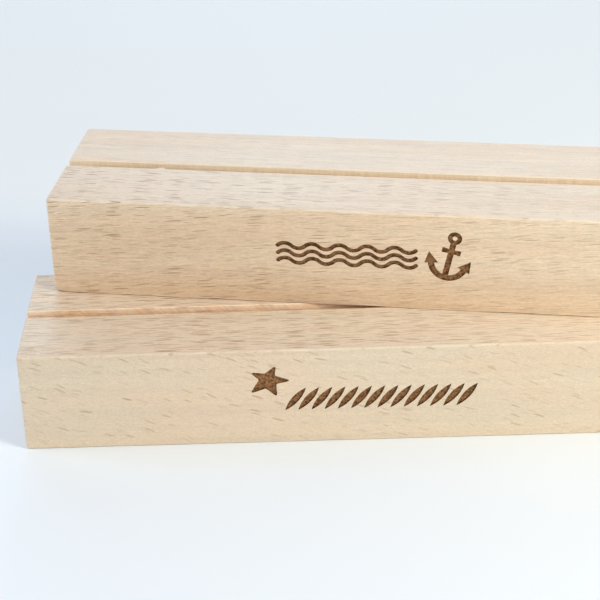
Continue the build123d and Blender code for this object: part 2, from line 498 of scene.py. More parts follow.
def anchor(figure, sizes):
    """Adds the anchor: stock, shank, arms, flukes and ring."""
    whole = bmesh.new()
    half_stock = sizes.stock_length / 2
    half_end = sizes.stock_end_width / 2
    half_waist = sizes.stock_waist_width / 2
    stock_corners = [
        (-half_stock, -half_end), (0, -half_waist), (half_stock, -half_end),
        (half_stock, half_end), (0, half_waist), (-half_stock, half_end)]
    stock = polygon(stock_corners)
    ends = [corner for corner in stock.verts if corner.co.x]
    round_corners(stock, ends, sizes.stock_end_radius)
    add_shape(whole, stock, at(0, -sizes.stock_drop))
    half_shank = sizes.shank_width / 2
    shank_top = -(sizes.ring_radius + sizes.ring_hole_radius) / 2
    shank_foot = -sizes.arm_centre_drop - sizes.arm_radius
    shank_corners = [
        (-half_shank, shank_foot), (half_shank, shank_foot),
        (half_shank, shank_top), (-half_shank, shank_top)]
    add_shape(whole, polygon(shank_corners), at(0, 0))
    arms = arc_band(
        sizes.arm_radius, sizes.arm_width, pi + sizes.arm_end_angle, pi - 2 * sizes.arm_end_angle)
    add_shape(whole, arms, at(0, -sizes.arm_centre_drop))
    half_fluke = sizes.fluke_width / 2
    arm_end_along = sizes.arm_radius * cos(sizes.arm_end_angle)
    arm_end_up = -sizes.arm_centre_drop - sizes.arm_radius * sin(sizes.arm_end_angle)
    for side in (-1, 1):
        turn = -side * (sizes.arm_end_angle + sizes.fluke_flare)
        fluke_corners = [
            (side * half_fluke, 0), (0, sizes.fluke_length), (-side * half_fluke, -sizes.fluke_barb_drop)]
        add_shape(whole, polygon(fluke_corners), at(side * arm_end_along, arm_end_up, turn))
    add_shape(whole, ring(sizes.ring_radius, sizes.ring_hole_radius), at(0, 0))
    add_shape(figure, whole, at(*sizes.anchor_place, sizes.anchor_lean))


def waves(figure, sizes):
    """Adds the rows of wavy lines with rounded ends."""
    middle_along, middle_up = sizes.waves_place
    half_length = WAVE_COUNT * sizes.wave_length / 2
    for row in range(WAVE_ROWS):
        level = middle_up + (row - (WAVE_ROWS - 1) / 2) * sizes.wave_row_pitch
        line = wavy_line(2 * WAVE_COUNT, sizes.wave_length / 2, sizes.wave_rise, sizes.wave_width)
        add_shape(figure, line, at(middle_along, level))
        for side in (-1, 1):
            add_shape(figure, disc(sizes.wave_width / 2), at(middle_along + side * half_length, level))


def starfish(figure, sizes):
    """Adds the starfish with its tips and waists rounded."""
    arms = zip(STARFISH_ARM_ANGLES, STARFISH_ARM_REACHES, STARFISH_WAIST_ANGLES)
    corners = []
    for arm_angle, arm_reach, waist_angle in arms:
        for angle, reach in ((arm_angle, arm_reach * MM), (waist_angle, sizes.starfish_waist)):
            corners.append((reach * cos(radians(angle)), reach * sin(radians(angle))))
    shape = polygon(corners)
    ordered = list(shape.verts)
    round_corners(shape, ordered[0::2], sizes.starfish_tip_radius)
    round_corners(shape, ordered[1::2], sizes.starfish_waist_fillet)
    add_shape(figure, shape, at(*sizes.starfish_place))


def rope(figure, sizes):
    """Adds the row of slanted strands."""
    middle_along, middle_up = sizes.rope_place
    for count in range(ROPE_STRANDS):
        along = middle_along + (count - (ROPE_STRANDS - 1) / 2) * sizes.rope_pitch
        add_shape(
            figure, strand(sizes.strand_length, sizes.strand_width),
            at(along, middle_up, sizes.strand_slant))


def pull(shape, run):
    """Pulls flat faces along a run into solids."""
    lifted = bmesh.ops.extrude_face_region(shape, geom=shape.faces[:], use_keep_orig=True)
    lifted_verts = [part for part in lifted["geom"] if isinstance(part, bmesh.types.BMVert)]
    bmesh.ops.translate(shape, vec=run, verts=lifted_verts)


def engraving_cutter(name, figures, blocks, sizes):
    """A solid that cuts the given figures into a block's front face."""
    figure = bmesh.new()
    for draw in figures:
        draw(figure, sizes)
    pull(figure, (0, 0, sizes.depth + CUTTER_REACH))
    bmesh.ops.recalc_face_normals(figure, faces=figure.faces)
    front = Matrix.Translation((0, -blocks.depth / 2 + sizes.depth, blocks.height / 2))
    bmesh.ops.transform(figure, matrix=front @ Matrix.Rotation(pi / 2, 4, "X"), verts=figure.verts)
    return object_from(name, figure, BURNT_WOOD)


def half_size(blocks):
    """Half of a block's length, depth and height."""
    return Vector((blocks.length, blocks.depth, blocks.height)) / 2


def edges_along(shape, length):
    """Edges that run along a block for about the given length."""
    found = []
    for edge in shape.edges:
        run = edge.verts[1].co - edge.verts[0].co
        if abs(run.x) > LONG_EDGE * length:
            found.append(edge)
    return found


def score_underside(shape, blocks):
    """Cuts a bar's faces along the lines from which its underside curves up."""
    half = half_size(blocks)
    for axis in range(2):
        for side in (-1, 1):
            along = Vector((0, 0, 0))
            along[axis] = side
            line = along * (half[axis] - blocks.underside_roll)
            everything = shape.verts[:] + shape.edges[:] + shape.faces[:]
            bmesh.ops.bisect_plane(shape, geom=everything, plane_co=line, plane_no=along)


def sharpen_low_edges(shape, blocks):
    """Draws the rounding of a bar's long lower edges towards the corner, to a smaller radius."""
    half = half_size(blocks)
    share = blocks.upper_low_edge / blocks.edge_radius
    for vert in shape.verts:
        above = vert.co.z + half.z
        inside = half.y - abs(vert.co.y)
        if max(above, inside) < (1 + ROUNDING_SLACK) * blocks.edge_radius:
            vert.co.z = above * share - half.z
            vert.co.y = half.y - inside * share if vert.co.y > 0 else inside * share - half.y


def curve_underside(shape, blocks, gap):
    """Lifts the underside of a bar a little towards its edges, unevenly."""
    half = half_size(blocks)
    rolled = blocks.underside_roll - blocks.edge_radius
    for vert in shape.verts:
        lowness = 1 - (vert.co.z + half.z) / blocks.edge_radius
        if lowness > -ROUNDING_SLACK:
            past = [abs(vert.co[axis]) - half[axis] + blocks.underside_roll for axis in range(2)]
            at_end, at_side = [min(max(length / rolled, 0), 1) for length in past]
            share = max(GAP_LEAST, GAP_MEAN + GAP_SWING * noise.noise(vert.co / GAP_LENGTH))
            side_lift = gap * lowness * at_side * share
            end_share = END_LIFT_SHARE + (1 - END_LIFT_SHARE) * lowness
            end_lift = blocks.upper_end_lift * end_share * at_end ** 2
            vert.co.z += max(side_lift, end_lift)


def wear_edges(shape, blocks, seed):
    """Sands a bar's rounded edges a little further down, unevenly."""
    half = half_size(blocks)
    for vert in shape.verts:
        outward = Vector()
        for axis in range(3):
            past = abs(vert.co[axis]) - (half[axis] - blocks.edge_radius)
            if past > ROUNDING_SLACK * MM:
                outward[axis] = past if vert.co[axis] > 0 else -past
        if sum(1 for part in outward if part) > 1:
            spot = vert.co / EDGE_WEAR_LENGTH + Vector((seed, 0, 0))
            wear = max(0.0, noise.noise(spot) + EDGE_WEAR_LEVEL)
            vert.co -= outward.normalized() * blocks.edge_wear * wear


def bar(name, blocks, seed, gap):
    """The sanded bar before it is sawn, standing on its underside, its edges eased unevenly."""
    shape = bmesh.new()
    bmesh.ops.create_cube(shape, size=1.0)
    bmesh.ops.scale(shape, vec=(blocks.length, blocks.depth, blocks.height), verts=shape.verts)
    bmesh.ops.bevel(
        shape, geom=shape.edges[:], offset=blocks.edge_radius, offset_type="OFFSET",
        affect="EDGES", segments=EDGE_SEGMENTS, profile=0.5, material=-1)
    if gap:
        score_underside(shape, blocks)
    cuts = round(blocks.length / BAR_STEP) - 1
    bmesh.ops.subdivide_edges(shape, edges=edges_along(shape, blocks.length), cuts=cuts)
    if gap:
        sharpen_low_edges(shape, blocks)
        curve_underside(shape, blocks, gap)
    wear_edges(shape, blocks, seed)
    bmesh.ops.translate(shape, vec=(0, 0, blocks.height / 2), verts=shape.verts)
    bmesh.ops.triangulate(shape, faces=shape.faces)
    return object_from(name, shape, FACE_WOOD)


def saw_wander(spot, lengths, seed):
    """Noise over a wall of the slot, with the given lengths along it and up."""
    along, up = lengths
    return noise.noise(Vector((spot.x / along, spot.z / up, seed)))


def roughen_slot(shape, blocks, top, seed, splintered):
    """Makes the walls of the saw's path ragged up to its lips, and leaves a splinter if there is one."""
    for vert in shape.verts:
        if vert.co.z > top + STRAIGHT_ABOVE:
            continue
        on_front = vert.co.y <= 0
        side = -1 if on_front else 1
        fine = saw_wander(vert.co, SAW_FINE_LENGTHS, seed + SAW_FINE_APART * side)
        slow = saw_wander(vert.co, SAW_SLOW_LENGTHS, seed + SAW_SLOW_APART * side)
        vert.co.y += blocks.saw_ripple * (fine + SAW_SLOW_SHARE * slow)
        if splintered and on_front and vert.co.z > top - SPLINTER_DROP:
            along = (vert.co.x - SPLINTER_START) / SPLINTER_LENGTH
            rise = min(along / SPLINTER_CREST, (1 - along) / (1 - SPLINTER_CREST))
            ragged = SPLINTER_MEAN + SPLINTER_SWING * noise.noise(vert.co / SPLINTER_RAGGEDNESS)
            vert.co.y += SPLINTER_REACH * max(0.0, rise) * ragged


def slot_cutter(name, blocks, seed, splintered):
    """The saw's path along the top of a block, widening above it, with slightly ragged walls."""
    half = blocks.slot_width / 2
    mouth = half + 2 * blocks.lip_radius
    floor = blocks.height - blocks.slot_depth
    top = blocks.height + LIP_CLEARANCE
    corners = [
        (-half, floor), (half, floor), (half, top), (mouth, top),
        (mouth, top + CUTTER_REACH), (-mouth, top + CUTTER_REACH), (-mouth, top), (-half, top)]
    shape = bmesh.new()
    start = -blocks.length / 2 - CUTTER_REACH
    profile = shape.faces.new([shape.verts.new((start, across, up)) for across, up in corners])
    lips = [profile.verts[2], profile.verts[7]]
    round_corners(shape, lips, blocks.lip_radius)
    run = blocks.length + 2 * CUTTER_REACH
    pull(shape, (run, 0, 0))
    wall_edges = [edge for edge in shape.edges if blocks.slot_depth / 2 < edge.calc_length() < run / 2]
    bmesh.ops.subdivide_edges(shape, edges=wall_edges, cuts=SLOT_WALL_CUTS)
    bmesh.ops.subdivide_edges(shape, edges=edges_along(shape, run), cuts=round(run / SLOT_STEP) - 1)
    bmesh.ops.recalc_face_normals(shape, faces=shape.faces)
    roughen_slot(shape, blocks, top, seed, splintered)
    bmesh.ops.triangulate(shape, faces=shape.faces)
    return object_from(name, shape, SLOT_WOOD)


def cut_away(piece, cutters, joined):
    """Takes the cutters' solids out of a piece for good. Those named as joined may cross themselves."""
    for cutter in cutters:
        cut = piece.modifiers.new(cutter.name, "BOOLEAN")
        cut.operation = "DIFFERENCE"
        cut.solver = "EXACT"
        cut.use_self = cutter in joined
        cut.material_mode = "INDEX"
        cut.object = cutter
    worked = piece.evaluated_get(bpy.context.evaluated_depsgraph_get())
    finished = bpy.data.meshes.new_from_object(worked)
    piece.modifiers.clear()
    rough = piece.data
    piece.data = finished
    bpy.data.meshes.remove(rough)
    for cutter in cutters:
        bpy.data.meshes.remove(cutter.data)


def close_mesh(piece):
    """Merges doubles, takes stray edges away and makes sure that a piece's mesh is closed."""
    clean = bmesh.new()
    clean.from_mesh(piece.data)
    bmesh.ops.remove_doubles(clean, verts=clean.verts, dist=CUT_MERGE)
    strays = [edge for edge in clean.edges if not edge.link_faces]
    bmesh.ops.delete(clean, geom=strays, context="EDGES")
    if any(not edge.is_manifold for edge in clean.edges):
        raise RuntimeError(piece.name + " isn't closed after the cuts")
    clean.to_mesh(piece.data)
    clean.free()


def make_block(name, body, node, place, figures, seed, gap, splintered, finishes):
    """One finished holder: the bar, sawn and engraved, in its place on its body."""
    blocks = bpy.context.scene.photo_block_sizes
    sizes = bpy.context.scene.photo_block_engraving
    piece = bar(name, blocks, seed, gap)
    slot = slot_cutter(name + "_slot", blocks, seed, splintered)
    engraving = engraving_cutter(name + "_engraving", figures, blocks, sizes)
    for part in (piece, engraving, slot):
        for finish in finishes:
            part.data.materials.append(finish)
    cut_away(piece, [engraving, slot], [engraving])
    close_mesh(piece)
    piece.data.name = name
    piece.data.shade_smooth()
    piece.data.set_sharp_from_angle(angle=SHARP_ANGLE)
    piece.data.transform(place)
    weighted = piece.modifiers.new("even_faces", "WEIGHTED_NORMAL")
    weighted.keep_sharp = True
    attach(piece, body)
    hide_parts(node)
    return piece


class NodeSheet:
    """The nodes of a material or of the world, with one call for each."""

    def __init__(self, owner):
        owner.use_nodes = True
        self.owner = owner
        self.tree = owner.node_tree
        self.tree.nodes.clear()

    def add(self, kind, inputs=(), **settings):
        """Adds a node, sets it up and links or sets its inputs, given as (socket, value) pairs."""
        node = self.tree.nodes.new("ShaderNode" + kind)
        for name, value in settings.items():
            setattr(node, name, value)
        for socket, value in inputs:
            if isinstance(value, bpy.types.NodeSocket):
                self.tree.links.new(value, node.inputs[socket])
            else:
                node.inputs[socket].default_value = value
        return node

    def math(self, operation, first, second=0.0):
        """The result of a sum on one or two values."""
        return self.add("Math", [(0, first), (1, second)], operation=operation).outputs[0]

    def times(self, first, second):
        """The product of two values."""
        return self.math("MULTIPLY", first, second)

    def vector(self, operation, first, second):
        """The result of a sum on two vectors."""
        return self.add("VectorMath", [(0, first), (1, second)], operation=operation).outputs[0]

    def scaled(self, vector, share):
        """A vector or a colour times a value."""
        return self.add("VectorMath", [(0, vector), ("Scale", share)], operation="SCALE").outputs[0]

    def axes(self, vector):
        """The parts of a vector along X, Y and Z."""
        return self.add("SeparateXYZ", [("Vector", vector)]).outputs

    def mix(self, share, first, second, blend_type="MIX"):
        """A colour between two."""
        inputs = [(0, share), (6, first), (7, second)]
        return self.add("Mix", inputs, data_type="RGBA", blend_type=blend_type).outputs[2]

    def spread(self, value, low, high, new_low=0.0, new_high=1.0):
        """A value moved smoothly from one range to another."""
        inputs = [
            ("Value", value), ("From Min", low), ("From Max", high),
            ("To Min", new_low), ("To Max", new_high)]
        return self.add("MapRange", inputs, interpolation_type="SMOOTHSTEP").outputs[0]

    def shades(self, pattern, depths, strength=1.0):
        """How much light a pattern leaves, given how much darker and lighter it is at most."""
        darker, lighter = depths
        return self.spread(pattern, *MIDDLE_RANGE, 1 - darker * strength, 1 + lighter * strength)

    def seen_from(self, position, turn, place=(0, 0, 0)):
        """A position as it is seen from a turned place."""
        inputs = [("Vector", position), ("Location", place), ("Rotation", turn)]
        return self.add("Mapping", inputs, vector_type="TEXTURE").outputs[0]

    def measured(self, position, lengths, shift):
        """A position measured in the given lengths along three axes, and shifted."""
        stretch = [1 / length for length in lengths]
        inputs = [("Vector", position), ("Location", (shift, shift, shift)), ("Scale", stretch)]
        return self.add("Mapping", inputs, vector_type="POINT").outputs[0]

    def streaks(self, position, pattern, shift=0.0):
        """Noise stretched to a pattern's lengths."""
        measured = self.measured(position, pattern.lengths, pattern.shift + shift)
        inputs = [
            ("Vector", measured), ("Scale", 1.0),
            ("Detail", pattern.detail), ("Roughness", pattern.roughness)]
        return self.add("TexNoise", inputs).outputs[0]

    def lenses(self, position, cell, rarity, shift):
        """Scattered lens-shaped bodies, one to each cell of the given lengths, some weak or missing."""
        measured = self.measured(position, cell, shift)
        inputs = [("Vector", measured), ("Scale", 1.0), ("Randomness", 1.0)]
        cells = self.add("TexVoronoi", inputs, feature="F1").outputs
        body = self.spread(cells["Distance"], RAY_REACH, RAY_CORE * RAY_REACH)
        chance = self.add("SeparateColor", [("Color", cells["Color"])]).outputs[0]
        return self.times(body, self.spread(chance, rarity, 1.0))

    def surface(self, inputs):
        """Ends a material in a shader with the given inputs."""
        shader = self.add("BsdfPrincipled", inputs)
        self.add("OutputMaterial", [("Surface", shader.outputs[0])])
        return self.owner

    def finish(self, colour, roughness, sheen, height, bump):
        """Ends a material in a shader with a bump, given as its strength and height."""
        strength, distance = bump
        inputs = [("Height", height), ("Strength", strength), ("Distance", distance)]
        normal = self.add("Bump", inputs).outputs[0]
        inputs = [
            ("Base Color", colour), ("Roughness", roughness),
            ("Specular IOR Level", sheen), ("Normal", normal)]
        return self.surface(inputs)


# How one block was cut from its tree, sawn and worn, and where light and shade are painted on it
Cut = namedtuple("Cut", [
    # The block's place and turn, and the angle of the growth rings
    "place", "turn", "ring_angle",
    # How the fibres slant on the front, how far they wander, and how much closer they lie in the
    # grain's three directions
    "front_slant", "front_wobble", "top_wobble", "front_squeeze", "top_squeeze",
    # Painted light: how much lighter the front's right, the top's left and the top's right are
    "front_right_tone", "top_left_tone", "top_right_tone",
    # The cells of the rays and of the fine rays
    "ray_cell", "fine_ray_cell",
    # How many rays are missing, how strong they are, and the fine rays' share of that
    "front_rarity", "front_rays", "front_fine", "top_rarity", "top_rays", "top_fine",
    # Their strength on the top's back half, and the share left at the right end and where they
    # are sparse
    "back_rays", "right_rays", "sparse_rays",
    # How strongly the fibres show, and how far out the rosier wood starts
    "fibres", "heart",
    # In the slot: the slant and the strength of the saw's marks, the strength of the redder
    # patches, and the painted shade that darkens it further down
    "mark_slant", "mark_strength", "mark_patches", "slot_shade",
    # How pale the slot's lips and the block's edges are, partly wear and partly painted highlight, and the
    # shift of all the patterns
    "lip_wear", "edge_wear", "shift"])


def below(level, drops):
    """The heights that lie the given drops below a level."""
    return [level - drop for drop in drops]


class Grain:
    """The patterns that one block's beech shows on its faces, in its slot and in its burnt figures."""

    def __init__(self, sheet, cut):
        blocks = bpy.context.scene.photo_block_sizes
        position = sheet.add("TexCoord").outputs["Object"]
        self.block = sheet.seen_from(position, (0, 0, cut.turn), cut.place)
        axes = sheet.axes(self.block)
        from_middle = sheet.math("ABSOLUTE", axes["Y"])
        side = blocks.depth / 2 - blocks.edge_radius
        on_side = sheet.spread(from_middle, side - SIDE_BLEND, side)
        end = blocks.length / 2
        self.ends = sheet.spread(sheet.math("ABSOLUTE", axes["X"]), end - blocks.edge_radius, end)
        self.follow_fibres(sheet, cut, axes, on_side)

        # Painted light: the faces grow lighter towards the right, by other amounts on the top and the
        # front, as if lit more there
        reach = LIGHT_AND_RAY_GRADIENT_REACH * end
        left_painted_light = sheet.spread(on_side, 0.0, 1.0, cut.top_left_tone, 1.0)
        right_painted_light = sheet.spread(on_side, 0.0, 1.0, cut.top_right_tone, cut.front_right_tone)
        self.tone = sheet.spread(axes["X"], -reach, reach, left_painted_light, right_painted_light)
        self.fibres = sheet.streaks(self.where, FIBRES, cut.shift)
        self.pores = sheet.streaks(self.where, PORES, cut.shift)
        self.streaks = sheet.streaks(self.where, STREAKS, cut.shift)
        self.bands = sheet.streaks(self.where, RINGS, cut.shift)
        self.clouds = sheet.streaks(self.where, CLOUDS, cut.shift)
        self.crowds = sheet.streaks(self.where, CROWDS, cut.shift)
        faded = sheet.spread(axes["X"], -reach, reach, 1.0, cut.right_rays)
        self.rays = sheet.times(self.scattered_rays(sheet, cut, axes, on_side), faded)

        engraved = bpy.context.scene.photo_block_engraving.depth - blocks.depth / 2
        self.cut_walls = sheet.spread(axes["Y"], *below(engraved, CUT_WALL_DROPS))
        # A lighter, warmer band on the top along the slot's rims
        rim = blocks.slot_width / 2 + blocks.lip_radius
        self.rims = sheet.spread(from_middle, *below(rim, RIM_DROPS))
        # How far down the slot a point is, for the painted shade there
        self.depth = sheet.spread(axes["Z"], *below(blocks.height, PAINTED_SHADE_DROPS))
        # The top of the slot's walls, for the pale lips: partly wear, partly painted highlight
        self.lips = sheet.spread(axes["Z"], *below(blocks.height, LIP_DROPS))
        self.edges = self.eased_edges(sheet, blocks, axes)

    def follow_fibres(self, sheet, cut, axes, on_side):
        """Finds each point's place in the tree, and whether it lies in the rosier wood."""
        fibre = Vector((1, 0, 0))
        tangent = Vector((0, cos(cut.ring_angle), -sin(cut.ring_angle)))
        outwards = tangent.cross(fibre)
        grain_turn = Matrix((fibre, outwards, tangent)).transposed().to_euler()
        level = sheet.seen_from(self.block, grain_turn)
        self.heart = sheet.spread(sheet.axes(level)["Y"], cut.heart - HEART_BLEND, cut.heart + HEART_BLEND)
        slant = sheet.times(sheet.times(axes["X"], cut.front_slant), on_side)
        dip = sheet.add("CombineXYZ", [("Z", slant)]).outputs[0]
        straight = sheet.vector("ADD", level, dip)
        inputs = [("Vector", straight), ("Scale", 1 / WOBBLE_LENGTH), ("Detail", 1.0)]
        wobble = sheet.add("TexNoise", inputs).outputs["Color"]
        wobble = sheet.vector("SUBTRACT", wobble, WOBBLE_MIDDLE)
        wander = sheet.spread(on_side, 0.0, 1.0, cut.top_wobble, cut.front_wobble)
        wandering = sheet.vector("ADD", straight, sheet.scaled(wobble, wander))
        squeeze = sheet.mix(on_side, (*cut.top_squeeze, 1), (*cut.front_squeeze, 1))
        self.where = sheet.vector("MULTIPLY", wandering, squeeze)

    def scattered_rays(self, sheet, cut, axes, on_side):
        """The short dark rays, large and fine, with their strength on each face."""
        rarity = sheet.spread(on_side, 0.0, 1.0, cut.top_rarity, cut.front_rarity)
        fine_share = sheet.spread(on_side, 0.0, 1.0, cut.top_fine, cut.front_fine)
        rays = sheet.lenses(self.where, cut.ray_cell, rarity, cut.shift)
        fine_rays = sheet.lenses(self.where, cut.fine_ray_cell, rarity, cut.shift + FINE_RAY_SHIFT)
        rays = sheet.math("MAXIMUM", rays, sheet.times(fine_rays, fine_share))
        strength = sheet.spread(axes["Y"], *TOP_HALVES, cut.top_rays, cut.back_rays)
        strength = sheet.math("ADD", strength, sheet.times(on_side, cut.front_rays - cut.top_rays))
        strength = sheet.times(strength, sheet.spread(self.ends, 0.0, 1.0, 1.0, END_RAYS))
        crowding = sheet.spread(self.crowds, *MIDDLE_RANGE, cut.sparse_rays, CROWDED_RAYS)
        return sheet.times(rays, sheet.times(crowding, strength))

    def eased_edges(self, sheet, blocks, axes):
        """How far a point lies on the rounded edges, where two faces meet."""
        up_from_middle = sheet.math("SUBTRACT", axes["Z"], blocks.height / 2)
        distances = (axes["X"], axes["Y"], up_from_middle)
        past = []
        for distance, half in zip(distances, half_size(blocks)):
            reach = half - blocks.edge_radius
            past.append(sheet.math("SUBTRACT", sheet.math("ABSOLUTE", distance), reach))
        pairs = [sheet.math("MINIMUM", past[index - 1], past[index]) for index in range(3)]
        nearest = sheet.math("MAXIMUM", sheet.math("MAXIMUM", pairs[0], pairs[1]), pairs[2])
        return sheet.spread(nearest, *EASED_EDGE)


def sanded_beech(name, finish, pale, rosy, sawn, cut):
    """Beech: short dark rays, fine fibres, paler and pinker bands, painted light, worn edges with painted
    highlight.
    """
    sheet = NodeSheet(bpy.data.materials.new(name))
    grain = Grain(sheet, cut)
    patches = sheet.spread(grain.clouds, *ROSY_CLOUDS)
    heart = sheet.times(grain.heart, sheet.spread(grain.crowds, *ROSY_HEART))
    wood = sheet.mix(sheet.math("MAXIMUM", patches, heart), (*pale, 1), (*rosy, 1))
    # The painted light along the block, then the shades of the grain's patterns
    shade = sheet.times(grain.tone, sheet.shades(grain.bands, RING_SHADES))
    shade = sheet.times(shade, sheet.shades(grain.fibres, FIBRE_SHADES, cut.fibres))
    shade = sheet.times(shade, sheet.shades(grain.streaks, STREAK_SHADES, cut.fibres))
    shade = sheet.times(shade, sheet.shades(grain.pores, PORE_SHADES))
    # A lighter, warmer band along the slot's rims
    rim_tinted = sheet.mix(grain.rims, sheet.scaled(wood, shade), RIM_TINT, "MULTIPLY")
    flecked = sheet.mix(grain.rays, rim_tinted, (*finish.fleck, 1))
    # Pale edges: partly sanding wear, partly a painted highlight
    least_wear_and_highlight = LEAST_EDGE_WEAR_AND_HIGHLIGHT * cut.edge_wear
    wear = sheet.spread(grain.streaks, *WORN_AND_HIGHLIT_EDGES, least_wear_and_highlight, cut.edge_wear)
    worn_and_highlit = sheet.mix(sheet.times(grain.edges, wear), flecked, (*finish.worn_and_highlit, 1))
    colour = sheet.mix(sheet.times(grain.ends, END_TINT), worn_and_highlit, (*sawn, 1), "MULTIPLY")
    roughness = sheet.spread(grain.fibres, *SANDED_ROUGHNESS)
    height = sheet.math("SUBTRACT", grain.fibres, sheet.times(grain.rays, RAY_SINKING))
    return sheet.finish(colour, roughness, SANDED_SHEEN, height, SANDED_BUMP)


def sawn_beech(name, finish, sawn, cut):
    """The slot's walls: more orange, saw-marked, painted shade further down, worn lips with painted
    highlight.
    """
    sheet = NodeSheet(bpy.data.materials.new(name))
    grain = Grain(sheet, cut)
    inputs = [("Vector", grain.block), ("Rotation", (0, cut.mark_slant, 0))]
    slanted = sheet.add("Mapping", inputs, vector_type="POINT").outputs[0]
    marks = sheet.streaks(slanted, SAW_MARKS)
    shade = sheet.shades(marks, SAW_MARK_SHADES, cut.mark_strength)
    shade = sheet.times(shade, sheet.spread(grain.fibres, *SAWN_FIBRES))
    # Painted light: the faces' painted light, stronger in the slot
    shade = sheet.times(shade, sheet.math("POWER", grain.tone, SAWN_PAINTED_LIGHT_POWER))
    # Painted shade: darker further down the slot
    shade = sheet.times(shade, sheet.spread(grain.depth, 0.0, 1.0, 1.0, cut.slot_shade))
    patches = sheet.streaks(grain.block, SAWN_PATCHES)
    patches = sheet.spread(patches, *REDDER_SAWN, 0.0, REDDER_SHARE * cut.mark_patches)
    # Painted shade: redder deep in the slot
    patches = sheet.math("MAXIMUM", patches, sheet.times(grain.depth, REDDER_PAINTED_SHADE))
    wood = sheet.scaled(sheet.mix(patches, (*sawn, 1), SAWN_PATCH, "MULTIPLY"), shade)
    flecked = sheet.mix(sheet.times(grain.rays, SAWN_RAYS), wood, (*finish.fleck, 1))
    # Pale lips: partly wear, partly a painted highlight
    colour = sheet.mix(sheet.times(grain.lips, cut.lip_wear), flecked, (*finish.worn_and_highlit, 1))
    height = sheet.math("ADD", marks, grain.fibres)
    return sheet.finish(colour, SAWN_ROUGHNESS, SAWN_SHEEN, height, SAWN_BUMP)


def burnt_beech(name, finish, cut):
    """The burnt figures: brown, blotched with darker patches and darker round their borders."""
    sheet = NodeSheet(bpy.data.materials.new(name))
    grain = Grain(sheet, cut)
    mottle = sheet.streaks(grain.where, MOTTLE)
    speckle = sheet.streaks(grain.block, SPECKLE)
    char = sheet.spread(mottle, *CHARRED_MOTTLE)
    char = sheet.math("ADD", char, sheet.spread(speckle, *CHARRED_SPECKLE))
    char = sheet.math("SUBTRACT", char, sheet.spread(grain.fibres, *PALER_FIBRES))
    char = sheet.math("ADD", char, sheet.times(grain.cut_walls, CHARRED_WALLS))
    share = sheet.add("Clamp", [("Value", char)]).outputs[0]
    colour = sheet.mix(share, (*finish.scorched, 1), (*finish.charred, 1))
    height = sheet.math("SUBTRACT", grain.fibres, mottle)
    return sheet.finish(colour, BURNT_ROUGHNESS, BURNT_SHEEN, height, BURNT_BUMP)


def beech_finishes(which, cut):
    """One block's materials, in their order on it."""
    finish = bpy.context.scene.photo_block_finish
    pale, rosy, sawn = [getattr(finish, which + tone) for tone in ("_pale", "_rosy", "_sawn")]
    return [
        sanded_beech("sanded_beech_" + which, finish, pale, rosy, sawn, cut),
        sawn_beech("sawn_beech_" + which, finish, sawn, cut),
        burnt_beech("burnt_beech_" + which, finish, cut)]


class PHOTOBLOCK_OT_lower_block(bpy.types.Operator):
    """Makes the lower holder, with the starfish and the rope on its front"""

    bl_idname = "photoblock.lower_block"
    bl_label = "Lower block"

    def execute(self, context):
        """Builds the block in its place."""
        turn = context.scene.photo_block_sizes.lower_turn
        middle = (lower_low + lower_high) / 2
        place = (middle.x, middle.y, lower_low.z)
        cut = Cut(
            place=place, turn=turn, ring_angle=radians(22), front_slant=-0.139,
            front_wobble=0.6 * MM, top_wobble=0.2 * MM,
            front_squeeze=(1.5, 1.0, 1.25), top_squeeze=(1.0, 1.0, 1.5),
            # Painted light: lighter towards the right, and lighter on the whole top
            front_right_tone=1.03, top_left_tone=1.03, top_right_tone=1.15,
            ray_cell=LOWER_RAY_CELL, fine_ray_cell=LOWER_FINE_RAY_CELL,
            front_rarity=0.4, front_rays=0.5, front_fine=0.38,
            top_rarity=-0.2, top_rays=1.1, top_fine=1.0,
            back_rays=1.1, right_rays=0.85, sparse_rays=0.7, fibres=0.45, heart=6.5 * MM,
            mark_slant=radians(45), mark_strength=1.6, mark_patches=1.0,
            # Painted shade deeper in the slot; pale lips and edges, partly worn and partly a painted
            # highlight
            slot_shade=0.88, lip_wear=0.2, edge_wear=0.3, shift=4.0)
        finishes = beech_finishes("lower", cut)
        matrix = Matrix.Translation(place) @ Matrix.Rotation(turn, 4, "Z")
        make_block(
            "beech_block_lower", "lower_block", "lower_block", matrix, [starfish, rope],
            seed=3.0, gap=0.0, splintered=False, finishes=finishes)
        return {"FINISHED"}


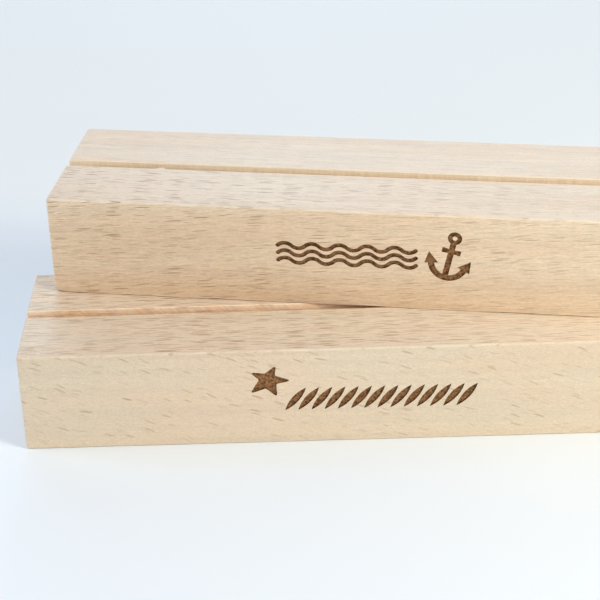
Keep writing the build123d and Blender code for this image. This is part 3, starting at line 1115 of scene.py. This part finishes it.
class PHOTOBLOCK_OT_upper_block(bpy.types.Operator):
    """Makes the upper holder, with the anchor and the waves on its front"""

    bl_idname = "photoblock.upper_block"
    bl_label = "Upper block"

    def execute(self, context):
        """Builds the block in its place."""
        gap = context.scene.photo_block_sizes.upper_gap
        middle = (upper_low + upper_high) / 2
        place = (middle.x, middle.y, upper_low.z)
        cut = Cut(
            place=place, turn=0.0, ring_angle=radians(45), front_slant=0.07,
            front_wobble=0.3 * MM, top_wobble=0.3 * MM,
            front_squeeze=(1.0, 1.0, 1.0), top_squeeze=(1.0, 1.0, 1.0),
            # Painted light: lighter towards the right
            front_right_tone=1.05, top_left_tone=1.0, top_right_tone=1.02,
            ray_cell=UPPER_RAY_CELL, fine_ray_cell=UPPER_FINE_RAY_CELL,
            front_rarity=0.1, front_rays=0.82, front_fine=0.6,
            top_rarity=0.1, top_rays=1.2, top_fine=0.6,
            back_rays=0.33, right_rays=0.55, sparse_rays=0.7, fibres=1.0, heart=9 * MM,
            mark_slant=0.0, mark_strength=1.0, mark_patches=0.2,
            # Painted shade deeper in the slot; pale lips and edges, partly worn and partly a painted
            # highlight
            slot_shade=0.95, lip_wear=0.8, edge_wear=0.6, shift=1.0)
        finishes = beech_finishes("upper", cut)
        make_block(
            "beech_block_upper", "upper_block", "upper_block", Matrix.Translation(place), [anchor, waves],
            seed=8.0, gap=gap, splintered=True, finishes=finishes)
        return {"FINISHED"}


def make_floor(look):
    """The floor, which takes the colour of the distance behind the blocks."""
    shape = bmesh.new()
    bmesh.ops.create_grid(shape, x_segments=2, y_segments=2, size=FLOOR_SIZE)
    floor = object_from("floor", shape)
    sheet = NodeSheet(bpy.data.materials.new("pale_floor"))
    position = sheet.add("TexCoord").outputs["Object"]
    away = (-sin(CAMERA_HEADING), cos(CAMERA_HEADING), 0)
    back = sheet.add("VectorMath", [(0, position), (1, away)], operation="DOT_PRODUCT").outputs["Value"]
    colour = sheet.mix(sheet.spread(back, 0.0, FLOOR_BLEND), (*look.floor, 1), (*look.distance, 1))
    inputs = [("Base Color", colour), ("Roughness", FLOOR_ROUGHNESS), ("Specular IOR Level", FLOOR_SHEEN)]
    floor.data.materials.append(sheet.surface(inputs))


def make_world(look):
    """The light from all round, and the distance that the camera and the sheen see."""
    world = bpy.data.worlds.new("studio")
    bpy.context.scene.world = world
    sheet = NodeSheet(world)
    path = sheet.add("LightPath").outputs
    seen = path["Is Camera Ray"]
    for kind in ("Is Glossy Ray", "Is Transmission Ray"):
        seen = sheet.math("MAXIMUM", seen, path[kind])
    ambient = sheet.add("Background", [("Color", AMBIENT_COLOUR), ("Strength", look.ambient)])
    behind = sheet.add("Background", [("Color", (*look.distance, 1))])
    chosen = sheet.add("MixShader", [(0, seen), (1, ambient.outputs[0]), (2, behind.outputs[0])])
    sheet.add("OutputWorld", [("Surface", chosen.outputs[0])])


def make_lamp(name, lamp, power):
    """A square lamp that looks at the blocks."""
    light = bpy.data.lights.new(name, "AREA")
    light.size = lamp.size
    light.energy = power
    light.color = lamp.colour
    holder = new_object(name, light)
    holder.location = lamp.place
    holder.rotation_euler = (Vector(LAMP_AIM) - Vector(lamp.place)).to_track_quat("-Z", "Y").to_euler()
    holder.visible_camera = False
    holder.visible_glossy = lamp.mirrored


def make_camera():
    """The scene's camera."""
    camera_data = bpy.data.cameras.new("camera")
    camera_data.lens = CAMERA_FOCAL_LENGTH
    camera_data.sensor_width = CAMERA_SENSOR
    camera_data.clip_start = CAMERA_CLIP_START
    camera = new_object("camera", camera_data)
    turn = Matrix.Rotation(CAMERA_HEADING, 4, "Z")
    turn = turn @ Matrix.Rotation(pi / 2 - CAMERA_PITCH, 4, "X")
    turn = turn @ Matrix.Rotation(CAMERA_ROLL, 4, "Z")
    camera.matrix_world = Matrix.Translation(CAMERA_PLACE) @ turn
    bpy.context.scene.camera = camera


class PHOTOBLOCK_OT_stage(bpy.types.Operator):
    """Makes the floor, the lamps and the camera"""

    bl_idname = "photoblock.stage"
    bl_label = "Stage"

    def execute(self, context):
        """Builds the stage around the blocks."""
        look = context.scene.photo_block_stage
        make_floor(look)
        make_world(look)
        for name, lamp in LAMPS.items():
            make_lamp(name, lamp, getattr(look, name + "_power"))
        make_camera()
        context.scene.view_settings.view_transform = "Standard"
        return {"FINISHED"}


class PHOTOBLOCK_PT_panel(bpy.types.Panel):
    """Lists the sizes, the colours and the pieces"""

    bl_idname = "PHOTOBLOCK_PT_panel"
    bl_label = "Photo blocks"
    bl_space_type = "VIEW_3D"
    bl_region_type = "UI"
    bl_category = "Photo blocks"

    def draw(self, context):
        """Draws the lists."""
        scene = context.scene
        groups = [
            scene.photo_block_sizes, scene.photo_block_engraving,
            scene.photo_block_finish, scene.photo_block_stage]
        for group in groups:
            box = self.layout.box()
            for name in group.__annotations__:
                box.prop(group, name)
        for operator in OPERATORS:
            self.layout.operator(operator.bl_idname)


OPERATORS = (PHOTOBLOCK_OT_lower_block, PHOTOBLOCK_OT_upper_block, PHOTOBLOCK_OT_stage)
GROUPS = {
    "photo_block_sizes": BlockSizes,
    "photo_block_engraving": EngravingSizes,
    "photo_block_finish": WoodFinish,
    "photo_block_stage": StageLook,
}


def register():
    """Adds the classes and the scene's settings."""
    for name, group in GROUPS.items():
        bpy.utils.register_class(group)
        setattr(bpy.types.Scene, name, PointerProperty(type=group))
    for kind in OPERATORS + (PHOTOBLOCK_PT_panel,):
        bpy.utils.register_class(kind)


def unregister():
    """Takes the classes and the scene's settings away."""
    for kind in (PHOTOBLOCK_PT_panel,) + OPERATORS:
        bpy.utils.unregister_class(kind)
    for name, group in GROUPS.items():
        delattr(bpy.types.Scene, name)
        bpy.utils.unregister_class(group)


def main():
    """Builds the pieces and the stage."""
    register()
    bpy.ops.photoblock.lower_block()
    bpy.ops.photoblock.upper_block()
    bpy.ops.photoblock.stage()


if __name__ == "__main__":
    main()
